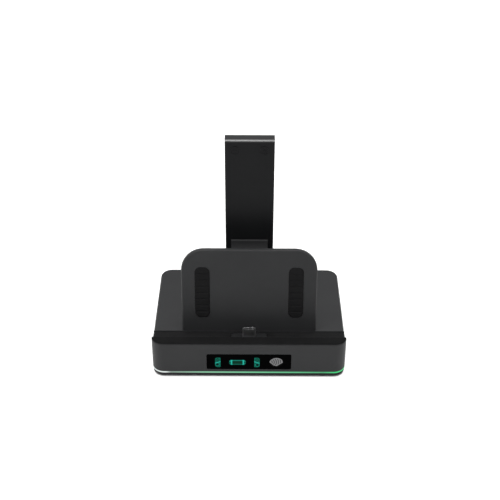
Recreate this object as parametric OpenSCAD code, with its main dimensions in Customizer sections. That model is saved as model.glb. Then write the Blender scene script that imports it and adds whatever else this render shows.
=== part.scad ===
// Charging dock: a low base with a leaning slot and a plug near its front, a backrest behind
// the slot, and an upright column at the back whose two sides are charging rails.
// Millimetres. +Z is up, the front looks along -Y, and the origin is on the floor, under the
// middle of the base. Lengths named _y count from the base's front face, and lengths named
// _z or _h from the base's lower edge, which stands off the floor on four feet.

/* [Base] */
// Width of the base
base_w = 120; // [114:1:150]
// Depth of the base from front to back
base_d = 90; // [86:1:120]
// Radius of the upright corners
corner_r = 7.5; // [6:0.5:14]
// Least radius of the corners inside the base
inner_corner_r = 1; // [0.5:0.1:2]
// Height of the rear deck
deck_h = 18.8; // [17:0.1:21]
// Radius of the deck's outer edge
deck_edge_r = 2; // [0.5:0.25:3]
// Wall of the housing
wall = 2; // [1.6:0.1:2.6]
// Depth of the two ribs under the deck
deck_rib_h = 3; // [1:0.5:4]
// Thickness of those ribs
deck_rib_t = 1.2; // [0.8:0.1:2]

/* [Bottom plate and feet] */
// Thickness of the bottom plate
plate_t = 2.2; // [2.2:0.1:3]
// Step between the plate's rim and the housing above
plate_inset = 0.3; // [0.1:0.1:1]
// Radius of the plate's lower edge
plate_edge_r = 0.4; // [0.3:0.1:1.2]
// Radius of a foot
foot_r = 5; // [3:0.5:7]
// Height that a foot stands proud
foot_proud = 1; // [0.8:0.1:3]
// Depth that a foot is let into the plate
foot_seat = 0.8; // [0.5:0.1:1.2]
// Inset of a foot's middle from the base's sides
foot_inset = 12.5; // [10:0.5:16]

/* [Vents] */
// Vent slots in the bottom plate
vent_count = 7; // [3:1:9]
// Length of a vent slot
vent_l = 22; // [12:1:26]
// Width of a vent slot
vent_w = 1.6; // [1:0.1:2.4]
// Distance between vent slots
vent_pitch = 4; // [3.4:0.1:5]
// Distance of the vents' middle behind the base's front
vent_y = 32; // [30:0.5:34]

/* [Slot] */
// Height of the lip in front of the slot
lip_h = 25.6; // [23.5:0.1:28]
// Thickness of the lip at its top
lip_t = 6.4; // [5.5:0.1:9]
// Radius of the lip's front edge
lip_edge_r = 1; // [0.85:0.05:1.5]
// Thickness of the soft cap on the lip
lip_cap_t = 0.8; // [0.5:0.1:1]
// Angle at which the slot leans back
lean = 10.6; // [6:0.1:14]
// Thickness of the slot, front to back
slot_t = 15.7; // [13:0.1:18]
// Depth of the slot below the top of the lip
slot_depth = 4.5; // [3.5:0.1:5]
// Thickness of the soft pad on the slot's floor
slot_pad_t = 1; // [0.6:0.1:1.4]
// Gap between the slot pad and the ends of the slot
slot_pad_gap = 0.8; // [0.4:0.1:2]

/* [Light strip] */
// Height of the light strip round the base
strip_t = 1.2; // [0.8:0.1:2]
// Width of the light guide, from outside to inside
strip_w = 3; // [2.4:0.1:4]
// Width of the board beside the guide
light_board_w = 5.6; // [4:0.1:6]
// Thickness of that board
light_board_t = 0.8; // [0.5:0.1:1]
// Length of a lamp on that board
lamp_l = 3; // [2:0.1:4]
// Depth of a lamp
lamp_w = 1.2; // [0.8:0.1:2]
// Lamps along the front, and along the back
lamps_across = 8; // [4:1:12]
// Lamps along each side
lamps_deep = 5; // [3:1:8]

/* [Display] */
// Width of the display window
window_w = 52.2; // [46:0.1:64]
// Height of the display window
window_h = 11.8; // [10.5:0.1:12.4]
// Height of the window's lower edge
window_z = 5.2; // [4.4:0.1:5.8]
// Radius of the window's corners
window_r = 1; // [0.4:0.1:3]
// Width of the lens's rim behind the wall
lens_rim = 0.9; // [0.5:0.1:1]
// Thickness of that rim
lens_rim_t = 0.8; // [0.6:0.1:1.2]
// Depth of the light windows in the lens
icon_t = 0.6; // [0.3:0.1:1]
// Height of the two half round icons
side_icon_h = 7.5; // [6:0.1:8.4]
// Width of the two half round icons
side_icon_w = 3.3; // [3:0.05:5]
// Radius of the icons' round corners
icon_r = 1.4; // [1:0.1:1.5]
// Distance of the icons' middle below the window's middle
icon_drop = 0.5; // [0:0.1:0.6]
// Radius of the icons' tight corners
icon_tight_r = 0.5; // [0.3:0.1:1]
// Distance of the left icon from the middle of the window
left_icon_x = 19.2; // [17:0.1:20]
// Distance of the right icon from the middle of the window
right_icon_x = 5; // [4.5:0.1:6]
// Width of the long icon
long_icon_w = 10.2; // [8.4:0.1:12]
// Height of the long icon
long_icon_h = 3.7; // [3.4:0.1:6]
// Distance of the long icon from the middle of the window
long_icon_x = 7.05; // [6:0.05:8]
// Width of the dark field in the long icon
long_field_w = 6.1; // [4:0.1:7]
// Height of the dark field in the long icon
long_field_h = 2; // [1.2:0.1:2.4]
// Length of the leaf icon that marks the touch key
leaf_l = 8.9; // [7.4:0.1:10]
// Width of the leaf icon
leaf_w = 7.2; // [5:0.1:7.3]
// Length that the leaf's blunt end stays short of a pointed one
leaf_blunt = 0.5; // [0.1:0.1:1]
// Angle of the leaf icon
leaf_turn = 9; // [0:1:40]
// Distance of the leaf icon from the middle of the window
leaf_x = 16.9; // [15:0.1:19]
// Gap that the mask leaves round an icon
mask_gap = 0.45; // [0.2:0.05:0.6]
// Thickness of the mask between lens and board
mask_t = 1.2; // [0.8:0.1:1.6]
// Thickness of the display board
display_board_t = 1; // [0.8:0.1:1.6]

/* [Plug] */
// Width of the plug
plug_w = 8.25; // [6:0.05:9]
// Thickness of the plug
plug_t = 2.4; // [2:0.05:3]
// Length that the plug stands above the slot's floor
plug_l = 6.5; // [4:0.1:9]
// Wall of the plug's shell
plug_wall = 0.3; // [0.2:0.05:0.4]
// Depth of the plug's root in its carrier
plug_root = 5; // [3:0.1:5.6]
// Width of the plug's mouth
mouth_w = 6.8; // [5:0.1:7]
// Height of the plug's mouth
mouth_t = 0.85; // [0.6:0.05:1]
// Thickness of the carrier's flange under the slot's floor
carrier_flange_t = 1.2; // [0.8:0.1:1.4]
// Width of that flange round the carrier
carrier_flange_w = 1.5; // [1:0.1:2]
// Width of the carrier that holds the plug
carrier_w = 22; // [16:0.5:30]
// Thickness of that carrier, along the slot's own thickness
carrier_t = 9; // [7:0.5:10]
// Depth of the carrier below the slot's floor
carrier_l = 7; // [6:0.1:7.6]
// Height that the carrier stands above the slot's floor
carrier_proud = 0.5; // [0.2:0.1:1]
// Width of the riser board under the carrier
riser_w = 16; // [10:0.5:18]
// Thickness of the riser board
riser_t = 1.2; // [0.8:0.1:1.6]

/* [Backrest] */
// Width of the backrest
rest_w = 84; // [60:1:100]
// Height of the backrest's top
rest_h = 73; // [60:1:90]
// Thickness of the backrest's panel
rest_t = 4; // [3.4:0.1:5]
// Radius of the panel's upper corners
rest_corner_r = 14; // [6:0.5:20]
// Radius of the panel's edges
rest_edge_r = 1.2; // [0.6:0.1:1.6]
// Width of the web between panel and column
web_w = 23; // [16:0.5:26]
// Height of the web where it meets the column
web_h = 66; // [50:1:80]
// Depth of the backrest's foot behind its panel
rest_foot_l = 9; // [8:0.5:12]
// Height of that foot
rest_foot_h = 3.5; // [3:0.1:6]
// Thickness of the ribs behind the panel
rest_rib_t = 2; // [1.5:0.1:3]
// Height of those ribs
rest_rib_h = 26; // [12:1:40]
// Width of a pad on the panel
rest_pad_w = 9; // [6:0.5:14]
// Length of a pad on the panel
rest_pad_l = 34; // [20:1:40]
// Distance of a pad from the middle
rest_pad_x = 29; // [20:0.5:34]
// Thickness of a pad
rest_pad_t = 1.6; // [1.2:0.1:2]
// Depth that a pad is let into the panel
rest_pad_seat = 1; // [0.5:0.1:1.1]

/* [Column] */
// Width of the column
col_w = 30; // [29:0.5:36]
// Thickness of the column
col_t = 11; // [10.6:0.1:14]
// Height of the column
col_h = 136; // [130:1:150]
// Distance of the column's face behind the base's front
col_y = 54; // [52:0.5:58]
// Radius of the column's top edges
col_top_r = 1.2; // [0.5:0.1:2.5]
// Radius of the top's rear edge
col_back_r = 5.2; // [0.5:0.1:5.2]
// Radius of the column's upright edges
col_edge_r = 0.8; // [0.4:0.1:1.2]
// Wall of the column's shells
col_wall = 1.6; // [1.2:0.1:2]
// Length of the foot flange inside the base
flange_w = 44; // [42:0.5:48]
// Depth of the foot flange
flange_d = 19; // [18:0.5:22]
// Thickness of the foot flange
flange_t = 2.4; // [1.6:0.1:3]
// Inset of the flange's screws from its edges
flange_screw_inset = 3.6; // [3.4:0.1:4]
// Distance of the two engraved marks below the column's top
mark_drop = 6.5; // [5:0.1:9]
// Distance of each mark from the middle
mark_x = 8.8; // [6:0.1:10]
// Radius of a mark's ring
mark_r = 2.8; // [2:0.1:3.4]
// Width of a mark's lines
mark_line = 0.5; // [0.3:0.05:0.8]
// Depth of the engraving
mark_depth = 0.3; // [0.15:0.05:0.5]

/* [Rails] */
// Width of a rail's recess
rail_w = 8; // [7:0.1:8.4]
// Depth of a rail's recess
rail_depth = 3.6; // [2.6:0.1:3.8]
// Height of the lower end of a rail's recess
rail_z = 27; // [24:0.5:30]
// Distance of the recess's upper end below the column's top
rail_top_gap = 13; // [11:0.5:18]
// Wall behind a rail's recess
rail_wall = 1.2; // [0.8:0.1:1.4]
// Length of the connector in a rail
link_l = 14; // [10:0.5:18]
// Thickness of the connector's tongue
link_t = 4.4; // [3.4:0.1:4.8]
// Height that the tongue stands in the recess
link_proud = 2.2; // [1.2:0.1:2.6]
// Contacts on each tongue
contact_count = 7; // [4:1:9]
// Width of a contact
contact_w = 0.8; // [0.5:0.05:1]
// Length of a magnet
magnet_l = 14; // [8:0.5:16]
// Thickness of a magnet
magnet_t = 2; // [1:0.1:2]
// Width of a magnet
magnet_w = 6; // [4:0.1:6.4]
// Distance of a magnet from the middle of the rail
magnet_z = 32; // [20:0.5:36]

/* [Boards and weights] */
// Height of the main board's underside
board_z = 6; // [5.6:0.1:6.4]
// Thickness of the main board
board_t = 1.6; // [1:0.1:1.6]
// Gap between the main board and the posts beside it
board_side_gap = 2.8; // [1:0.1:6]
// Radius of the main board's standoffs
standoff_r = 2.5; // [2:0.1:3.4]
// Distance of the standoffs from the board's sides
standoff_side = 3.5; // [3:0.1:5]
// Distance of the standoffs from the board's ends
standoff_end = 8; // [4:0.5:12]
// Side of the large chip
chip_w = 8; // [5:0.5:10]
// Thickness of the chips
chip_t = 1.2; // [0.8:0.1:1.6]
// Side of the two coils
coil_w = 6; // [4:0.5:8]
// Height of the coils
coil_t = 2.4; // [1.6:0.1:3]
// Width of the two connectors that carry the other boards
header_w = 12; // [8:0.5:14]
// Height of those connectors
header_h = 2.5; // [2:0.1:4]
// Gap between the display's connector and the riser board
header_gap = 2; // [1:0.5:4]
// Length that the connectors overlap the main board or stand off the column
header_l = 5; // [3:0.5:6]
// Gap between the main board and the front and rear walls
board_gap = 8; // [7:0.5:9]
// Width of the column's board
col_board_w = 16; // [14:0.5:16]
// Thickness of the column's board
col_board_t = 1.2; // [0.8:0.1:1.6]
// Width of a ballast bar
ballast_w = 9.5; // [6:0.5:10]
// Length of a ballast bar
ballast_l = 48; // [30:1:52]
// Height of a ballast bar
ballast_h = 8.5; // [4:0.5:10]

/* [Power inlet] */
// Width of the inlet's shell
inlet_w = 8.94; // [8:0.01:10]
// Height of the inlet's shell
inlet_h = 3.26; // [3:0.01:4]
// Length of the inlet's shell
inlet_l = 7.3; // [6:0.1:9]
// Wall of the inlet's shell
inlet_wall = 0.3; // [0.2:0.05:0.4]
// Width of the shallow recess round the inlet
inlet_recess_w = 13; // [11:0.5:18]
// Height of that recess
inlet_recess_h = 7.2; // [6:0.1:8]
// Depth of that recess
inlet_recess_t = 0.8; // [0.4:0.1:1]
// Width of the tongue in the inlet
tongue_w = 6.7; // [5:0.1:7]
// Thickness of that tongue
tongue_t = 0.7; // [0.5:0.05:1]
// Length of that tongue
tongue_l = 5.2; // [4:0.1:6]
// Thickness of the block behind the tongue
tongue_root = 1.4; // [1:0.1:2]

/* [Screws] */
// Radius of a screw's shank
shank_r = 1.15; // [0.8:0.05:1.3]
// Radius of a countersunk head
head_r = 2.4; // [2:0.1:3]
// Length of the screws in the base
base_screw_l = 9; // [6:0.5:10]
// Inset of the base screws from the sides
base_screw_side = 24; // [23:0.5:26]
// Inset of the base screws from front and back
base_screw_inset = 12; // [11:0.5:14]
// Gap between a screw and its pilot hole
pilot_gap = 0.1; // [0.05:0.01:0.15]
// Radius of the heads under the deck
pan_r = 3; // [2.4:0.1:4]
// Thickness of those heads
pan_t = 1.5; // [1:0.1:2]
// Length of the screws under the deck
rest_screw_l = 7; // [6:0.5:9]
// Radius of the heads at the column's back
col_head_r = 2; // [1.6:0.1:2.4]
// Thickness of those heads
col_head_t = 0.8; // [0.6:0.1:1]
// Radius of the main board's screws
board_screw_r = 0.9; // [0.6:0.05:1.1]
// Length of the main board's screws
board_screw_l = 3; // [2.5:0.1:4]
// Radius of the heads on the main board
board_head_r = 1.8; // [1.4:0.1:2.4]
// Thickness of those heads
board_head_t = 0.9; // [0.5:0.1:1.2]
// Radius of the posts that the base screws enter
post_r = 3.2; // [2.6:0.1:3.8]

/* [Fits] */
// Gap round a piece that sits in another
fit = 0.15; // [0.05:0.05:0.3]
// Gap round a light window in the lens
icon_fit = 0.05; // [0.02:0.01:0.1]

/* [Hidden] */
$fn = 64;
cut = 1;
far = 300;
shell_z = plate_t + strip_t;
slot_y = lip_t - slot_depth * sin(lean);
slot_z = lip_h - slot_depth * cos(lean);
deck_y = lean_y(slot_t, deck_h);
rest_y = lean_y(slot_t + rest_t, deck_h);
col_mid_y = col_y + col_t / 2;
rail_l = col_h - rail_top_gap - rail_z;
rail_floor_x = col_w / 2 - rail_depth;
cavity_x = rail_floor_x - rail_wall;
rail_mid_z = rail_z + rail_l / 2;
window_mid_z = window_z + window_h / 2;
board_top = board_z + board_t;
lens_back_y = wall + lens_rim_t;
display_board_y = lens_back_y + mask_t;
head_t = head_r - shank_r;
rest_screw_spots = [for (side = [-1, 1]) [side * (rest_pad_x - 2), rest_y + rest_foot_l / 2]];
col_screw_l = col_t - 2 * col_wall - 1;
col_screw_z = [rail_z + 6, rail_mid_z + 16, rail_z + rail_l - 6];
base_screw_spots = [for (side = [-1, 1], y = [base_screw_inset, base_d - base_screw_inset])
    [side * (base_w / 2 - base_screw_side), y]];
flange_screw_spots = [for (side = [-1, 1], step = [-1, 1])
    [side * (flange_w / 2 - flange_screw_inset), col_mid_y + step * (flange_d / 2 - flange_screw_inset)]];
feet_spots = [for (side = [-1, 1], y = [foot_inset, base_d - foot_inset])
    [side * (base_w / 2 - foot_inset), y]];
board_w = base_w - 2 * (base_screw_side + post_r + board_side_gap);
board_y = wall + board_gap;
board_l = base_d - 2 * board_y + board_gap - inlet_recess_t;
standoff_spots = [for (side = [-1, 1], y = [board_y + standoff_end, board_y + board_l - standoff_end])
    [side * (board_w / 2 - standoff_side), y]];
ballast_x = base_w / 2 - strip_w - light_board_w - ballast_w - 0.9;
display_header_x = riser_w / 2 + header_gap + header_w / 2;

// Where the plane at u across the slot stands at height z
function lean_y(u, z) = slot_y + u * cos(lean)
    + (z - slot_z + u * sin(lean)) * tan(lean);

// Moves a piece from the base's front lower edge to its place over the floor
module on_feet() {
    translate([0, -base_d / 2, foot_proud]) children();
}

// The slot's own frame: y across the slot, z up along it, from the foot of the lip
module leaned() {
    translate([0, slot_y, slot_z]) rotate([-lean, 0, 0]) children();
}

// Carries an outline in y and z along x, centred
module along_x(length) {
    translate([-length / 2, 0, 0]) rotate([90, 0, 90]) linear_extrude(length) children();
}

// Carries an outline in x and z backwards, along +y
module along_y(length) {
    mirror([0, 1, 0]) rotate([90, 0, 0]) linear_extrude(length) children();
}

module both_sides() {
    children();
    mirror([1, 0, 0]) children();
}

// A rectangle with round corners, centred
module round_rect(w, h, r) {
    square([w - 2 * r, h], center = true);
    square([w, h - 2 * r], center = true);
    for (side = [-1, 1], end = [-1, 1])
        translate([side * (w / 2 - r), end * (h / 2 - r)]) circle(r);
}

// Half of a block's section, from its middle out to reach, with a round top edge
module half_section(reach, h, edge) {
    square([reach - edge, h]);
    square([reach, h - edge]);
    translate([reach - edge, h - edge]) circle(edge);
}

// A block with round upright corners whose top edge is rounded all the way
module soft_block(w, d, h, corner, edge) {
    for (side = [-1, 1], end = [-1, 1])
        translate([side * (w / 2 - corner), end * (d / 2 - corner), 0])
            rotate_extrude() half_section(corner, h, edge);
    along_x(w - 2 * corner) {
        half_section(d / 2, h, edge);
        mirror([1, 0]) half_section(d / 2, h, edge);
    }
    translate([0, corner - d / 2, 0]) along_y(d - 2 * corner) {
        half_section(w / 2, h, edge);
        mirror([1, 0]) half_section(w / 2, h, edge);
    }
}

// The base's outline, set in. Deep inside, its corners keep a small radius
module base_outline(inset) {
    translate([0, base_d / 2]) round_rect(base_w - 2 * inset, base_d - 2 * inset,
        max(corner_r - inset, inner_corner_r));
}

module base_block(h, edge, inset = 0) {
    translate([0, base_d / 2, 0])
        soft_block(base_w - 2 * inset, base_d - 2 * inset, h, corner_r - inset, edge);
}

// The space of the slot, from u across and v along it
module slot_space(u, v) {
    leaned() translate([-far / 2, u, v]) cube([far, slot_t - u, far]);
}

// A countersunk screw, its head's flat end at the origin and its shank upwards
module sunk_screw(length) {
    difference() {
        union() {
            cylinder(h = head_t, r1 = head_r, r2 = shank_r);
            cylinder(h = length, r = shank_r);
        }
        cross_recess(head_r);
    }
}

// A screw with a low round head, which bears at the origin, its shank upwards
module pan_screw(length, radius, thickness, shank) {
    difference() {
        union() {
            translate([0, 0, -thickness]) cylinder(h = thickness, r = radius);
            cylinder(h = length, r = shank);
        }
        translate([0, 0, -thickness]) cross_recess(radius);
    }
}

module cross_recess(reach) {
    for (turn = [0, 90])
        rotate(turn) translate([-reach * 0.6, -0.3, -cut]) cube([reach * 1.2, 0.6, cut + 0.5]);
}

// The hole and countersink for a base screw
module sunk_hole() {
    translate([0, 0, -cut]) cylinder(h = far, r = shank_r + pilot_gap);
    cylinder(h = head_t + pilot_gap, r1 = head_r + pilot_gap, r2 = shank_r);
    translate([0, 0, -cut]) cylinder(h = cut, r = head_r + pilot_gap);
}

// Base housing
module shell_form() {
    translate([0, 0, shell_z]) {
        base_block(deck_h - shell_z, deck_edge_r);
        intersection() {
            base_block(lip_h - lip_cap_t - shell_z, lip_edge_r);
            translate([-far / 2, -cut, -cut]) cube([far, deck_y + cut, far]);
        }
    }
}

module shell_hollow() {
    intersection() {
        linear_extrude(lip_h) base_outline(wall);
        union() {
            translate([-far / 2, deck_y + wall, 0]) cube([far, far, deck_h - wall]);
            leaned() translate([-far / 2, -slot_t, -far])
                cube([far, 2.6 * slot_t, far - slot_pad_t - wall]);
        }
    }
}

module carrier_outline(gap) {
    translate([0, slot_t / 2]) round_rect(carrier_w + 2 * gap, carrier_t + 2 * gap, 2 + gap);
}

module base_shell() {
    color("#3b3c3e") on_feet() difference() {
        union() {
            difference() {
                shell_form();
                shell_hollow();
            }
            for (spot = base_screw_spots)
                translate([spot.x, spot.y, plate_t])
                    cylinder(h = deck_h - wall / 2 - plate_t, r = post_r);
            for (side = [-1, 1])
                translate([side * (web_w / 2 + 8), deck_y + wall, deck_h - wall - deck_rib_h])
                    cube([deck_rib_t, base_d - deck_y - 2 * wall, deck_rib_h + wall / 2]);
        }
        slot_space(-lip_cap_t, -slot_pad_t);
        for (spot = base_screw_spots)
            translate([spot.x, spot.y, plate_t - cut])
                cylinder(h = base_screw_l + cut, r = shank_r + pilot_gap);
        for (spot = rest_screw_spots)
            translate([spot.x, spot.y, deck_h - wall - cut])
                cylinder(h = wall + 2 * cut, r = shank_r + pilot_gap);
        translate([0, -cut, window_mid_z]) along_y(wall + 2 * cut)
            round_rect(window_w + 2 * icon_fit, window_h + 2 * icon_fit, window_r);
        translate([0, col_mid_y, deck_h - wall - cut]) linear_extrude(wall + 2 * cut)
            round_rect(col_w + 2 * fit, col_t + 2 * fit, col_edge_r + fit);
        leaned() translate([0, 0, -far / 2]) linear_extrude(far) carrier_outline(fit);
        translate([0, base_d - wall - cut, inlet_mid_z()]) along_y(wall + 2 * cut)
            round_rect(inlet_w + 2 * fit, inlet_h + 2 * fit, inlet_h / 2);
        translate([0, base_d - inlet_recess_t, inlet_mid_z()]) along_y(wall)
            round_rect(inlet_recess_w, inlet_recess_h, inlet_recess_h / 2 - 0.1);
    }
}

// Bottom plate, its standoffs and the pocket for the light board
module bottom_plate() {
    color("#2c2d2f") on_feet() difference() {
        union() {
            translate([0, 0, plate_t]) mirror([0, 0, 1])
                base_block(plate_t, plate_edge_r, plate_inset);
            for (spot = standoff_spots)
                translate([spot.x, spot.y, plate_t / 2])
                    cylinder(h = board_z - plate_t / 2, r = standoff_r);
        }
        translate([0, 0, plate_t - light_board_t]) linear_extrude(far) light_board_outline(fit);
        for (spot = feet_spots)
            translate([spot.x, spot.y, -cut]) cylinder(h = foot_seat + cut, r = foot_r + fit);
        for (spot = concat(base_screw_spots, flange_screw_spots))
            translate([spot.x, spot.y, 0]) sunk_hole();
        for (spot = standoff_spots)
            translate([spot.x, spot.y, board_top - board_screw_l - cut])
                cylinder(h = far, r = board_screw_r + pilot_gap);
        for (i = [0 : vent_count - 1])
            translate([(i - (vent_count - 1) / 2) * vent_pitch, vent_y, -cut])
                linear_extrude(plate_t + 2 * cut) stadium(vent_w, vent_l);
    }
}

module feet() {
    color("#1b1b1c") on_feet() for (spot = feet_spots)
        translate([spot.x, spot.y, foot_seat]) mirror([0, 0, 1]) rotate_extrude()
            half_section(foot_r, foot_seat + foot_proud, foot_proud / 2);
}

module base_screws() {
    color("#6b6d70") on_feet() {
        for (spot = base_screw_spots) translate([spot.x, spot.y, 0]) sunk_screw(base_screw_l);
        for (spot = flange_screw_spots)
            translate([spot.x, spot.y, 0]) sunk_screw(plate_t + flange_t - 0.2);
    }
}

// Light strip: the guide round the base, its board and its lamps
module light_guide() {
    color("#9fe0c0") on_feet() translate([0, 0, plate_t]) linear_extrude(strip_t)
        difference() {
            base_outline(0);
            base_outline(strip_w);
        }
}

module light_board_outline(gap) {
    difference() {
        base_outline(strip_w - gap);
        base_outline(strip_w + light_board_w + gap);
    }
}

module light_board() {
    color("#e9ebe6") on_feet() translate([0, 0, plate_t - light_board_t])
        linear_extrude(light_board_t) light_board_outline(0);
}

module lamp() {
    translate([-lamp_l / 2, 0, plate_t]) cube([lamp_l, lamp_w, strip_t - 0.2]);
}

module strip_lamps() {
    inset = strip_w + 0.3;
    span = base_w - 2 * corner_r;
    deep = base_d - 2 * corner_r;
    color("#f4f4e8") on_feet() {
        for (i = [0 : lamps_across - 1], end = [0, 1])
            translate([span * ((i + 0.5) / lamps_across - 0.5), end * base_d, 0])
                mirror([0, end, 0]) translate([0, inset, 0]) lamp();
        for (i = [0 : lamps_deep - 1], side = [0, 1])
            mirror([side, 0, 0])
                translate([base_w / 2 - inset, base_d / 2 + deep * ((i + 0.5) / lamps_deep - 0.5), 0])
                    rotate(90) lamp();
    }
}

// Soft cap over the lip, down to the slot's floor
module lip_cap() {
    color("#161617") on_feet() difference() {
        intersection() {
            translate([0, 0, shell_z]) base_block(lip_h - shell_z, lip_edge_r);
            union() {
                translate([-far / 2, -cut, lip_h - lip_cap_t]) cube([far, lip_t + 2 * cut, cut]);
                leaned() translate([-far / 2, -lip_cap_t, 0])
                    cube([far, lip_cap_t, slot_depth]);
            }
        }
        slot_space(0, 0);
    }
}

module slot_pad() {
    color("#161617") on_feet() difference() {
        intersection() {
            leaned() translate([-far / 2, 0, -slot_pad_t]) cube([far, slot_t, slot_pad_t]);
            linear_extrude(far) base_outline(slot_pad_gap);
        }
        leaned() translate([0, 0, -far / 2]) linear_extrude(far) carrier_outline(fit);
    }
}

// Display: icons are light windows let into the face of a black lens
module side_icon_outline(gap) {
    hull() {
        for (end = [-1, 1]) {
            translate([icon_r - side_icon_w / 2, end * (side_icon_h / 2 - icon_r)])
                circle(icon_r + gap, $fn = 32);
            translate([side_icon_w / 2 - icon_tight_r, end * (side_icon_h / 2 - icon_tight_r)])
                circle(icon_tight_r + gap, $fn = 32);
        }
    }
}

module leaf_outline(gap) {
    half_l = leaf_l / 2;
    half_w = leaf_w / 2;
    arc_r = (half_l * half_l + half_w * half_w) / leaf_w;
    rotate(leaf_turn) intersection() {
        translate([0, arc_r - half_w]) circle(arc_r + gap);
        translate([0, half_w - arc_r]) circle(arc_r + gap);
        translate([-leaf_blunt / 2, 0]) circle(half_l - leaf_blunt / 2 + gap);
    }
}

module left_icon_place() {
    translate([-left_icon_x, -icon_drop]) children();
}

module right_icon_place() {
    translate([right_icon_x, -icon_drop]) mirror([1, 0]) children();
}

module long_icon_place() {
    translate([-long_icon_x, -icon_drop]) children();
}

module leaf_place() {
    translate([leaf_x, -icon_drop]) children();
}

// Puts a light window's outline into the face of the lens
module in_lens(depth) {
    on_feet() translate([0, 0, window_mid_z]) along_y(depth) children();
}

module display_lens() {
    color("#050506") difference() {
        union() {
            in_lens(lens_back_y) round_rect(window_w, window_h, window_r);
            translate([0, wall, 0]) in_lens(lens_rim_t)
                round_rect(window_w + 2 * lens_rim, window_h + 2 * lens_rim, window_r + lens_rim);
        }
        translate([0, -cut, 0]) in_lens(icon_t + cut) {
            left_icon_place() side_icon_outline(icon_fit);
            right_icon_place() side_icon_outline(icon_fit);
            long_icon_place() round_rect(long_icon_w + 2 * icon_fit, long_icon_h + 2 * icon_fit, icon_r);
            leaf_place() leaf_outline(icon_fit);
        }
    }
}

module icon_left() {
    color("#2f9182") in_lens(icon_t) left_icon_place() side_icon_outline(0);
}

module icon_right() {
    color("#2f9182") in_lens(icon_t) right_icon_place() side_icon_outline(0);
}

module icon_long() {
    color("#2f9182") in_lens(icon_t) long_icon_place() difference() {
        round_rect(long_icon_w, long_icon_h, icon_r);
        square([long_field_w, long_field_h], center = true);
    }
}

module icon_field() {
    color("#0e3322") in_lens(icon_t) long_icon_place()
        square([long_field_w - 2 * icon_fit, long_field_h - 2 * icon_fit], center = true);
}

module icon_leaf() {
    color("#75787a") in_lens(icon_t) leaf_place() leaf_outline(0);
}

module mask_window(w, h) {
    round_rect(w + 2 * mask_gap, h + 2 * mask_gap, icon_tight_r + mask_gap);
}

module display_mask() {
    color("#101011") translate([0, lens_back_y, 0]) in_lens(mask_t) difference() {
        round_rect(window_w, window_h, window_r);
        left_icon_place() mask_window(side_icon_w, side_icon_h);
        right_icon_place() mask_window(side_icon_w, side_icon_h);
        long_icon_place() mask_window(long_icon_w, long_icon_h);
        leaf_place() mask_window(leaf_l, leaf_w);
    }
}

module display_board() {
    color("#1d4a33") translate([0, display_board_y, 0]) in_lens(display_board_t)
        round_rect(window_w, window_h, window_r);
}

module display_header() {
    from_y = display_board_y + display_board_t;
    color("#e6e2d4") on_feet()
        translate([display_header_x - header_w / 2, from_y, board_top])
            cube([header_w, board_y + header_l / 2 - from_y, header_h]);
}

// Main board, with what stands on it
module main_board() {
    color("#1d4a33") on_feet() difference() {
        translate([-board_w / 2, board_y, board_z]) cube([board_w, board_l, board_t]);
        translate([0, col_mid_y, board_z - cut]) linear_extrude(board_t + 2 * cut)
            round_rect(col_w + 2, col_t + 2, col_edge_r + 1);
        for (spot = standoff_spots)
            translate([spot.x, spot.y, board_z - cut])
                cylinder(h = board_t + 2 * cut, r = board_screw_r + pilot_gap);
    }
}

module board_chips() {
    front_row = board_y + standoff_end + coil_w;
    back_row = front_row + 2 * chip_w;
    color("#161618") on_feet() translate([0, 0, board_top]) {
        for (side = [-1, 1]) {
            translate([side * board_w / 4 - coil_w / 2, back_row, 0]) cube([coil_w, coil_w, coil_t]);
            translate([side * board_w / 4 - chip_w / 2, front_row, 0]) cube([chip_w, chip_w, chip_t]);
        }
    }
}

module board_screws() {
    color("#8a8c8f") on_feet() for (spot = standoff_spots)
        translate([spot.x, spot.y, board_top]) mirror([0, 0, 1])
            pan_screw(board_screw_l, board_head_r, board_head_t, board_screw_r);
}

module ballast_bars() {
    color("#7c7e80") on_feet() both_sides()
        translate([ballast_x, (base_d - ballast_l) / 2, plate_t])
            cube([ballast_w, ballast_l, ballast_h]);
}

// Power inlet in the rear wall
function inlet_mid_z() = board_top + inlet_h / 2;

module inlet_shell() {
    color("#a9abad") on_feet() translate([0, base_d - inlet_recess_t - inlet_l, inlet_mid_z()])
        difference() {
            along_y(inlet_l) round_rect(inlet_w, inlet_h, inlet_h / 2 - 0.01);
            translate([0, inlet_wall * 2, 0]) along_y(inlet_l)
                round_rect(inlet_w - 2 * inlet_wall, inlet_h - 2 * inlet_wall,
                    inlet_h / 2 - inlet_wall - 0.01);
        }
}

module inlet_tongue() {
    color("#18181a") on_feet()
        translate([0, base_d - inlet_recess_t - inlet_l + inlet_wall * 2, inlet_mid_z()]) {
            along_y(tongue_root) round_rect(inlet_w - 2 * (inlet_wall + icon_fit),
                inlet_h - 2 * (inlet_wall + icon_fit), inlet_h / 2 - inlet_wall - icon_fit - 0.01);
            along_y(tongue_l) square([tongue_w, tongue_t], center = true);
        }
}

// Plug in the slot, its carrier and the riser board below
module plug_outline(shrink) {
    round_rect(plug_w - 2 * shrink, plug_t - 2 * shrink, plug_t / 2 - shrink - 0.01);
}

module plug_carrier() {
    under = slot_pad_t + wall;
    color("#202123") on_feet() leaned() difference() {
        union() {
            translate([0, 0, -carrier_l]) linear_extrude(carrier_l + carrier_proud)
                carrier_outline(0);
            translate([0, 0, -under - carrier_flange_t]) linear_extrude(carrier_flange_t)
                carrier_outline(carrier_flange_w);
        }
        translate([0, slot_t / 2, -plug_root]) linear_extrude(far) plug_outline(-fit);
        translate([-riser_w / 2 - fit, (slot_t - riser_t) / 2 - fit, -carrier_l - cut])
            cube([riser_w + 2 * fit, riser_t + 2 * fit, carrier_l - plug_root + cut]);
    }
}

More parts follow.
